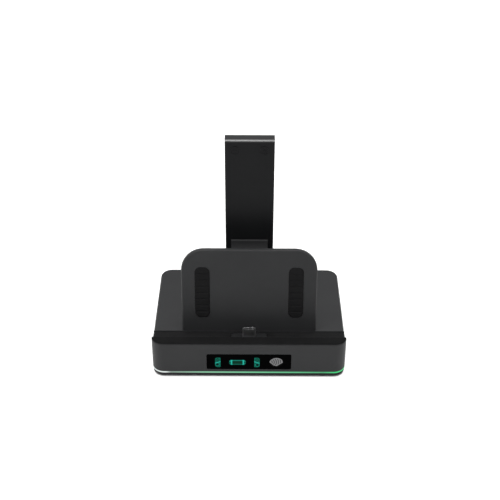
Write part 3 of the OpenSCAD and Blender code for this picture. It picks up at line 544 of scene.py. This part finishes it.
def rest_pad(side):
    """Half width is constant, then a quarter circle at each end. Height rises from the rim
    like a quarter of an ellipse, is crowned by a small share of the square of the place
    across, and every groove takes a squared cosine out of it."""
    t = np.linspace(-1, 1, 221)
    along = PAD_L / 2 * np.sign(t) * (1 - (1 - np.abs(t)) ** 1.15)
    past = np.clip(np.abs(along) - (PAD_L / 2 - PAD_END_R), 0, PAD_END_R)
    half = PAD_W / 2 - PAD_END_R + np.sqrt(PAD_END_R**2 - past**2)
    s = np.sin(np.linspace(-1, 1, 41) * math.pi / 2)
    to_end = PAD_L / 2 - np.abs(along)
    inside = np.minimum(half[:, None] * (1 - np.abs(s)), to_end[:, None])
    rim = np.clip(inside / PAD_RIM, 0, 1)
    height = PAD_PROUD * np.sqrt(1 - (1 - rim) ** 2) * (1 - PAD_CROWN * s**2)
    pitch = PAD_L / (GROOVES + 1)
    offset = np.abs(along - pitch * np.round(along / pitch))
    groove = np.cos(np.clip(offset / GROOVE_HALF, 0, 1) * math.pi / 2) ** 2
    groove *= np.abs(along) < pitch * GROOVES / 2
    height -= GROOVE_DEPTH * groove[:, None] * ease(inside / GROOVE_FADE)
    x = side * PAD_X + half[:, None] * s
    v = PAD_LOW + PAD_L / 2 + along[:, None]
    return slab(leaned(x, SLOT_T - height, v), leaned(x, SLOT_T + PAD_SEAT, v))


make_piece("rest_pads", *joined([rest_pad(-1), rest_pad(1)]), "backrest_pads")

# %% [markdown]
# ### Feet
# Each foot is a turned button with two rings cut into its underside, so that it grips. Its
# profile is a list of radii and heights, from the axis below to the axis above, and turning
# that round the axis gives the surface. The two ends close in a single point.

# %% Feet
FOOT_X, FOOT_Y, FOOT_R = 47.5, 32.5, 5.0
FOOT_TOP, TOP_BEVEL = 1.8, 0.1
RIM_R = 0.5
FOOT_RINGS = (1.9, 3.4)
RING_HALF, RING_DEPTH = 0.5, 0.28


def turned_foot(at_x, at_y):
    """Height of the underside is a squared cosine at each ring and a quarter circle at the
    rim; then the wall rises to the flat top."""
    flat_r = FOOT_R - RIM_R
    low_r = np.linspace(0, flat_r, 60)
    from_rings = [np.clip((low_r - ring_r) / RING_HALF, -1, 1) for ring_r in FOOT_RINGS]
    rings = sum(np.cos(offset * math.pi / 2) ** 2 for offset in from_rings)
    turn = np.linspace(0, math.pi / 2, 9)[1:]
    r = np.concatenate([low_r, flat_r + RIM_R * np.sin(turn), [FOOT_R, FOOT_R - TOP_BEVEL, 0]])
    z = np.concatenate(
        [rings * RING_DEPTH, RIM_R * (1 - np.cos(turn)), [FOOT_TOP - TOP_BEVEL, FOOT_TOP, FOOT_TOP]]
    )
    around = np.linspace(0, 2 * math.pi, 73)[:-1]
    x = at_x + r[1:-1, None] * np.cos(around)
    y = at_y + r[1:-1, None] * np.sin(around)
    grid = np.stack(np.broadcast_arrays(x, y, z[1:-1, None]), -1)
    low, high = grid.shape[0] * grid.shape[1] + np.arange(2)
    a = np.arange(low).reshape(grid.shape[:2])
    b = np.roll(a, -1, axis=1)
    walls = np.stack([a[:-1], b[:-1], b[1:], a[1:]], -1).reshape(-1, 4)
    below = np.stack([np.full_like(a[0], low), b[0], a[0]], -1)
    above = np.stack([np.full_like(a[0], high), a[-1], b[-1]], -1)
    poles = [(at_x, at_y, z[0]), (at_x, at_y, z[-1])]
    points = np.concatenate([grid.reshape(-1, 3), poles])
    return points, walls.tolist() + below.tolist() + above.tolist()


spots = [(x, y) for x in (-FOOT_X, FOOT_X) for y in (-FOOT_Y, FOOT_Y)]
make_piece("ringed_feet", *joined([turned_foot(x, y) for x, y in spots]), "feet")

# %% [markdown]
# ## Window
# The front window is polished black acrylic behind which the icons light up. It shows
# almost nothing but a soft reflection, so its detail is in the polish: faint wiping marks
# change how rough it is, and its colour by next to nothing.

# %% Polished black window
lens = Finish("lens", Specular_IOR_Level=0.008)
wiped = lens.noise(3.0, 4, (0.35, 1, 1))
lens.colour(lens.blend((0.0003, 0.0003, 0.0004), (0.0009, 0.0009, 0.0010), wiped))
lens.gloss(0.10 + wiped.step(0.4, 0.8) * 0.16)
lens.relief(lens.noise(6, 1), 0.002, 0.25, 0.12)
dress(lens, "display_lens")

# %% [markdown]
# ## Icons
# Each icon is a clear window in the lens, printed with a generic picture and lit from
# behind. The pictures are a few lines and dots, so they are drawn by distance: a point's
# distance from a dot or a line, in millimetres, becomes light or dark at a soft step. The
# same few helpers serve all four.


# %% Dots, rings and blocks by distance
SOFT_EDGE, SOFT_LINE = 0.12, 0.10


def distance(x, z, at):
    """Distance from a point: the root of the sum of both squares."""
    return ((x - at[0]) ** 2 + (z - at[1]) ** 2) ** 0.5


def dot(x, z, at, radius):
    """1 inside a disc of that radius round at, and 0 outside it."""
    return 1 - distance(x, z, at).step(radius - SOFT_EDGE, radius + SOFT_EDGE)


def ring(x, z, at, radius, width):
    """1 on a circle's line, where the distance from the circle is under half its width."""
    off = abs(distance(x, z, at) - radius)
    return 1 - off.step(width / 2 - SOFT_LINE, width / 2 + SOFT_LINE)


def block(x, z, at, size):
    """1 inside a rectangle: the larger of the two distances past its half sizes is below 0."""
    past = (abs(x - at[0]) - size[0] / 2).most(abs(z - at[1]) - size[1] / 2)
    return 1 - past.step(-SOFT_EDGE, SOFT_EDGE)


# %% Lit print
TEAL_DIM = (0.0005, 0.010, 0.007)
TEAL = (0.0035, 0.118, 0.076)
TEAL_BRIGHT = (0.020, 0.480, 0.370)


def lit_icon(name, picture):
    """A teal icon whose picture, 0 to 1, goes from dim to bright over the lit print."""
    finish = Finish(name, Specular_IOR_Level=0.02)
    x, _, z = finish.place()
    share = picture(x, z) + finish.noise(0.6, 2) * 0.24 - 0.12
    low = finish.blend(TEAL_DIM, TEAL, share.step(0.0, 0.5))
    finish.glow(finish.blend(low, TEAL_BRIGHT, share.step(0.5, 1.0)))
    finish.colour(finish.blend((0.001, 0.006, 0.005), (0.002, 0.014, 0.011), share))
    finish.gloss(0.2 + finish.noise(1.5, 2) * 0.15)
    finish.relief(finish.noise(0.2, 1), 0.003, 0.2)
    return finish


# %% [markdown]
# The two side icons are half-round tablets. Each has a bright bar across its middle, four
# dark dots above it and a dark knob in a thin bright ring below it. The parts are about as
# fine as a real lamp can light sharply through print, 0.3 mm, and no finer.

# %% Side icons
ICON_Z = 11.6
SIDE_X = {-1: -19.2, 1: 5.0}
SIDE_TONE = 0.42
DOTS_UP, DOTS_RIGHT, DOT_GAP, DOT_R = 1.95, 0.1, 0.85, 0.36
KNOB_DOWN, KNOB_SHIFT, KNOB_R = 1.75, (0.25, -0.2), 0.9
RING_R, RING_W = 1.12, 0.3
BAR_SLOPE = 0.35
FLAT_X, FLAT_SIZE = 1.45, (0.4, 9)


def side_picture(side):
    """Light and dark of a side icon. side is -1 for the left one and 1 for the right one."""

    def picture(x, z):
        at = SIDE_X[side]
        knob = (at + side * KNOB_SHIFT[0], ICON_Z + side * KNOB_SHIFT[1] - KNOB_DOWN)
        shade = SIDE_TONE
        for step_x, step_z in ((0, 1), (0, -1), (1, 0), (-1, 0)):
            spot_x = at + side * DOTS_RIGHT + step_x * DOT_GAP
            spot_z = ICON_Z + DOTS_UP + step_z * DOT_GAP
            shade = shade - dot(x, z, (spot_x, spot_z), DOT_R) * SIDE_TONE
        off_bar = abs(z - ICON_Z + (x - at) * side * BAR_SLOPE)
        shade = shade + (1 - off_bar.step(0.2, 0.4)) * 0.5
        shade = shade + ring(x, z, knob, RING_R, RING_W) * 0.26
        shade = shade - dot(x, z, knob, KNOB_R) * 0.5
        return shade + block(x, z, (at - side * FLAT_X, ICON_Z), FLAT_SIZE) * 0.14

    return picture


dress(lit_icon("icon_left", side_picture(-1)), "icon_left")
dress(lit_icon("icon_right", side_picture(1)), "icon_right")

# %% [markdown]
# The long icon is a frame round a dim green field, brightest at its two ends, where a small
# dark dot sits. The lower rail is a little dimmer, because the lamp sits above it.

# %% Long icon
LONG_X = -7.05
FIELD_SIZE = (6.4, 2.24)
END_X, END_SIZE = 3.6, (1.0, 4)
END_DOT_X, END_DOT_Z, END_DOT_R = 4.45, 0.2, 0.45


def long_picture(x, z):
    """Bright end blocks with a dark dot each, joined by two thinner rails."""
    shade = 0.40 + (z - ICON_Z).step(-1.8, 1.8) * 0.22
    for side in (-1, 1):
        shade = shade + block(x, z, (LONG_X + side * END_X, ICON_Z), END_SIZE) * 0.5
        dot_at = (LONG_X + side * END_DOT_X, ICON_Z + side * END_DOT_Z)
        shade = shade - dot(x, z, dot_at, END_DOT_R) * 0.5
    return shade * (1 - block(x, z, (LONG_X, ICON_Z), FIELD_SIZE) * 0.9)


dress(lit_icon("icon_long", long_picture), "icon_long")

# %% Field inside the long icon
field = Finish("icon_dark", Specular_IOR_Level=0.02)
_, _, z = field.place()
sheen = (1 - (z - ICON_Z).step(-1, 1) + field.noise(0.8, 2)) * 0.5
field.glow(field.blend((0.0010, 0.012, 0.007), (0.003, 0.046, 0.026), sheen))
field.colour(field.blend((0.0008, 0.004, 0.002), (0.0015, 0.008, 0.004), sheen))
field.gloss(0.2 + sheen * 0.1)
field.relief(field.noise(0.2, 1), 0.003, 0.2)
dress(field, "icon_field")

# %% [markdown]
# The last icon is a leaf in grey print, lit only faintly. Its window is egg-shaped, and the
# print leaves the lower side of it dark along three straight cuts. Inside a pale rim its
# veins are thin arcs, one behind the other, as growth lines run on a shell.
#
# The rim needs the distance from the leaf's outline. The window is where three discs overlap:
# two large ones, moved up and down, leave a pointed oval, and a third one blunts its right
# end. The distance inward is then the smallest of the distances from the three circles and
# from the three cuts.

# %% Shape of the leaf
LEAF_X = 16.9
LEAF_L, LEAF_W = 8.9, 7.2
LEAF_TURN = math.radians(9)
LEAF_BLUNT = 0.5
LEAF_CUTS = (((0.599, -0.801), 2.35), ((-0.719, -0.695), 2.74), ((-0.299, -0.954), 2.54))
VEINS_AT = (-4.5, 0.2)
VEIN_PITCH = 1.3


def leaf_depth(x, z):
    """Distance inward from the leaf's outline, in mm. A disc's is its radius less the
    distance from its middle, and a cut's is its reach less the place along its direction."""
    px, pz = x - LEAF_X, z - ICON_Z
    along = px * math.cos(LEAF_TURN) + pz * math.sin(LEAF_TURN)
    across = pz * math.cos(LEAF_TURN) - px * math.sin(LEAF_TURN)
    big_r = ((LEAF_L / 2) ** 2 + (LEAF_W / 2) ** 2) / LEAF_W
    depth = big_r - distance(along, abs(across), (0, LEAF_W / 2 - big_r))
    end_r = (LEAF_L - LEAF_BLUNT) / 2
    depth = depth.least(end_r - distance(along, across, (-LEAF_BLUNT / 2, 0)))
    for (nx, nz), reach in LEAF_CUTS:
        depth = depth.least(reach - px * nx - pz * nz)
    return depth


def leaf_veins(x, z):
    """1 on the dark arcs: the distance from a point at the tip, cut into equal steps."""
    away = distance(x, z, (LEAF_X + VEINS_AT[0], ICON_Z + VEINS_AT[1]))
    return 1 - abs((away / VEIN_PITCH).fraction() - 0.5).step(0.12, 0.26)


# %% Leaf icon
leaf = Finish("icon_grey", Specular_IOR_Level=0.02)
x, _, z = leaf.place()
depth = leaf_depth(x, z)
printed = depth.step(-0.08, 0.08)
dark_lines = leaf_veins(x, z) * depth.step(0.35, 0.6) * 0.85
body = leaf.blend((0.165, 0.166, 0.169), (0.014, 0.014, 0.015), dark_lines)
leaf.colour(leaf.blend((0.001, 0.001, 0.001), body, printed))
shine = leaf.blend((0.070, 0.070, 0.0715), (0.004, 0.004, 0.0045), dark_lines)
shine = leaf.blend(shine, (0.150, 0.150, 0.1515), (1 - depth.step(0.25, 0.5)) * 0.7)
leaf.glow(leaf.blend((0, 0, 0), shine, printed))
leaf.gloss(0.3 + leaf.noise(0.6, 2) * 0.2)
leaf.relief(1 - dark_lines, 0.01, 0.3)
dress(leaf, "icon_leaf")

# %% [markdown]
# ## Light strip
# The strip is frosted plastic with lamps behind it, white at one end and green at the
# other. It gives its own light, so the colour goes into the emission, and a ramp along x
# carries it round both corners. A very faint ripple keeps it from looking painted, and the
# light fades over the last 0.2 mm at each edge, where the groove's lips shade it.

# %% Glowing strip
STRIP_STOPS = [
    (-51.5, (0.80, 0.86, 0.84)),
    (-48.5, (0.22, 0.29, 0.25)),
    (-28.0, (0.23, 0.55, 0.34)),
    (0.0, (0.155, 0.60, 0.31)),
    (28.0, (0.080, 0.51, 0.22)),
    (46.0, (0.040, 0.36, 0.135)),
    (54.0, (0.022, 0.66, 0.185)),
]
STRIP_Z = 3.8
STRIP_HALF = 0.6
STRIP_FADE = 0.22
RIPPLE = 13.4


def along_strip(finish, x):
    """The strip's colour at x: each stop's colour is blended in over the way to it."""
    (start, shown), *rest = STRIP_STOPS
    for place, colour in rest:
        shown = finish.blend(shown, colour, x.step(start, place))
        start = place
    return shown


strip = Finish("light_strip", Specular_IOR_Level=0.12)
x, y, z = strip.place()
ripple = (abs(x.wave(RIPPLE)) + abs(y.wave(RIPPLE))) * 0.5
lit = strip.blend(along_strip(strip, x), (0.9, 0.95, 0.92), ripple * 0.03)
rim = abs(z - STRIP_Z).step(STRIP_HALF - STRIP_FADE, STRIP_HALF)
strip.glow(strip.blend(lit, (0.004, 0.02, 0.01), rim))
strip.colour(strip.blend((0.018, 0.026, 0.022), (0.028, 0.036, 0.032), strip.noise(3, 2)))
strip.gloss(0.38 + strip.noise(0.4, 2) * 0.15)
strip.relief(strip.noise(0.15, 1), 0.004, 0.3)
dress(strip, "light_guide")

# %% [markdown]
# The lamps behind the strip are small blocks of clear resin, yellowed by the powder in them
# that turns their light white. The powder lies unevenly, which a noise of 1.2 mm shows.

# %% Lamps behind the strip
lamp = Finish("lamp", Specular_IOR_Level=0.5)
cast = lamp.noise(1.2, 2)
lamp.colour(lamp.blend((0.85, 0.82, 0.55), (0.92, 0.9, 0.75), cast))
lamp.gloss(0.25 + cast * 0.2)
lamp.relief(cast, 0.02, 0.3)
dress(lamp, "strip_lamps")

# %% [markdown]
# ## Circuit boards
# A board is glass fibre under green lacquer. Copper tracks show through the lacquer as
# slightly raised, slightly paler lines. They are straight and lie at one pitch, so two
# stripe patterns, one for each direction, take turns in patches that a broad noise gives.


# %% Circuit board lacquer
TRACK_PITCH, TRACK_SHARE = 1.3, 0.36
WEAVE = 0.9


def tracks(finish, first, second):
    """1 on a track: stripes along either direction, chosen where a broad noise passes its
    middle value, and hidden where a second one is low."""
    choice = finish.noise(11, 0).step(0.495, 0.505)
    shown = finish.noise(7, 0).step(0.42, 0.44)
    stripes = []
    for way in (first, second):
        off_track = abs((way / TRACK_PITCH).fraction() - 0.5)
        stripes.append(1 - off_track.step(TRACK_SHARE / 2, TRACK_SHARE / 2 + 0.06))
    return (stripes[0] * choice + stripes[1] * (1 - choice)) * shown


board = Finish("board", Specular_IOR_Level=0.5)
x, y, _ = board.place()
copper = tracks(board, x, y)
weave = abs(x.wave(WEAVE)) * abs(y.wave(WEAVE))
tone = weave * 0.6 + board.noise(15, 2) * 0.4
lacquer = board.blend((0.006, 0.045, 0.022), (0.009, 0.058, 0.028), tone)
board.colour(board.blend(lacquer, (0.022, 0.11, 0.050), copper))
board.gloss(0.30 + board.noise(5, 3) * 0.12 + copper * 0.05)
board.relief(copper * 0.8 + weave * 0.2, 0.03, 0.5)
dress(board, "main_board", "light_board", "display_board", "column_board", "plug_riser")

# %% [markdown]
# Chips are black epoxy with a frosted top, and the black connectors have the same finish.
# The white connectors are glass-filled nylon, which is pale, slightly yellow and never quite
# even.

# %% Chips and connectors
chip = moulded("chip", (0.010, 0.010, 0.011), (0.016, 0.016, 0.017), 0.5, 0.006)
dress(chip, "board_chips", "display_mask", "inlet_tongue", "plug_insert")
dress(chip, "link_left", "link_right")

nylon = Finish("connector_pale", Specular_IOR_Level=0.45)
cloudy = nylon.noise(2.5, 4)
nylon.colour(nylon.blend((0.70, 0.66, 0.54), (0.80, 0.77, 0.67), cloudy))
nylon.gloss(0.35 + cloudy * 0.2)
nylon.relief(nylon.noise(0.2, 2), 0.01, 0.35, 0.1)
dress(nylon, "column_header", "display_header")

# %% [markdown]
# ## Metal
# The screws, the shell of the plug and the inlet, the ballast bars and the magnets are
# plated steel, and the contacts of the rails are gold. The plating is bright with a cloudy
# haze, and drawing leaves fine lines: noise stretched along one direction makes them. The
# screws are duller, and their noise isn't stretched.


# %% Plated steel and gold
def plated(name, dark, pale, roughness, stretch):
    """Metal between two tones, with lines drawn out where stretch is below 1."""
    finish = Finish(name, Metallic=1.0)
    haze = finish.noise(4, 4)
    lines = finish.noise(0.5, 3, stretch)
    worn = finish.edges(0.2)
    body = finish.blend(dark, pale, haze * 0.5 + lines * 0.5)
    finish.colour(finish.blend(body, [min(1, 1.25 * part) for part in pale], worn * 0.6))
    finish.gloss(roughness + haze * 0.14 + lines * 0.1 - worn * 0.1)
    finish.relief(lines, 0.006, 0.4, 0.08)
    return finish


steel = plated("steel", (0.36, 0.365, 0.37), (0.52, 0.525, 0.53), 0.22, (0.15, 1, 1))
dress(steel, "plug_shell", "inlet_shell", "ballast_bars", "rail_magnets")
zinc = plated("screws", (0.16, 0.165, 0.17), (0.30, 0.305, 0.31), 0.30, (1, 1, 1))
dress(zinc, "base_screws", "board_screws", "backrest_screws", "column_screws")
gold = plated("contact_gold", (0.62, 0.42, 0.15), (0.80, 0.58, 0.25), 0.20, (1, 0.2, 1))
dress(gold, "contacts_left", "contacts_right")

# %% [markdown]
# ## Floor
# The dock stands on a plain white floor that runs out of sight. For the camera, for gloss
# and for clear pieces the floor is white by itself, and a part of its colour still comes
# from the lamps, so the dock keeps its soft shadow. Under the base the floor has no white of
# its own, so the gap between the feet is as dark as it really is.

# %% Floor
FLOOR_HALF = 4.0
FLOOR_TONE = 0.62
WHITE_FROM, WHITE_FULL = -0.75, -0.35

floor_mesh = bpy.data.meshes.new("floor")
around = [(-1, -1), (1, -1), (1, 1), (-1, 1)]
floor_mesh.from_pydata(
    [(FLOOR_HALF * x, FLOOR_HALF * y, 0) for x, y in around], [], [(0, 1, 2, 3)]
)
floor = bpy.data.objects.new("floor", floor_mesh)
bpy.context.scene.collection.objects.link(floor)

paper = Finish("floor", Roughness=0.9, Specular_IOR_Level=0.1)
paper.colour((FLOOR_TONE, FLOOR_TONE, FLOOR_TONE, 1))
floor_mesh.materials.append(paper.material)
seen = paper.node("LightPath", output="Is Camera Ray")
for other_ray in ("Is Glossy Ray", "Is Transmission Ray"):
    seen = seen.most(paper.node("LightPath", output=other_ray))
x, y, _ = paper.place()
past_x = (abs(x) - BASE_HALF_W + CORNER_R).most(0)
past_y = (abs(y) - BASE_HALF_D + CORNER_R).most(0)
past = (past_x**2 + past_y**2) ** 0.5 - CORNER_R
shown = seen * past.step(WHITE_FROM, WHITE_FULL)
paper.glow(paper.blend((0, 0, 0), (1, 1, 1), shown), FLOOR_TONE)
print("floor is", 2 * FLOOR_HALF, "m wide")

# %% [markdown]
# ## Background
# The world behind the floor is white for the camera, and lights the dock at less than half
# of that, so that the lamps still give it shape.

# %% World
WORLD_LIGHT = 0.42

world = bpy.data.worlds.new("studio")
world.use_nodes = True
bpy.context.scene.world = world
tree = world.node_tree
backdrop = tree.nodes["Background"]
backdrop.inputs["Color"].default_value = (1, 1, 1, 1)
path = tree.nodes.new("ShaderNodeLightPath")
strength = tree.nodes.new("ShaderNodeMapRange")
strength.inputs["To Min"].default_value = WORLD_LIGHT
tree.links.new(path.outputs["Is Camera Ray"], strength.inputs["Value"])
tree.links.new(strength.outputs[0], backdrop.inputs["Strength"])
print("world lights the dock at", WORLD_LIGHT, "of white")

# %% [markdown]
# ## Lamps
# Three broad lamps light the dock at a plain level, the strongest from above and behind.
# A fourth, narrow one in front draws the bright line on the column's top edge.


# %% Lamps
def softbox(name, place, target, size, power):
    """A rectangular lamp at place that faces target, all in metres, and its power in watts."""
    data = bpy.data.lights.new(name, "AREA")
    data.shape = "RECTANGLE"
    data.size, data.size_y = size
    data.energy = power
    holder = bpy.data.objects.new(name, data)
    holder.location = place
    way = Vector(target) - Vector(place)
    holder.rotation_euler = way.to_track_quat("-Z", "Y").to_euler()
    bpy.context.scene.collection.objects.link(holder)
    print(name, "is", round(way.length, 2), "m away")


softbox("top_lamp", (0.0, 0.25, 1.15), (0, 0, 0.05), (1.1, 0.8), 11)
softbox("left_lamp", (-1.0, -0.45, 0.7), (0, 0, 0.04), (0.7, 0.9), 5)
softbox("right_lamp", (0.9, -0.7, 0.8), (0, 0, 0.04), (0.5, 0.6), 2)
softbox("edge_lamp", (0.0, -0.66, 1.0), (0, 0.01, 0.13), (0.12, 0.7), 2.3)
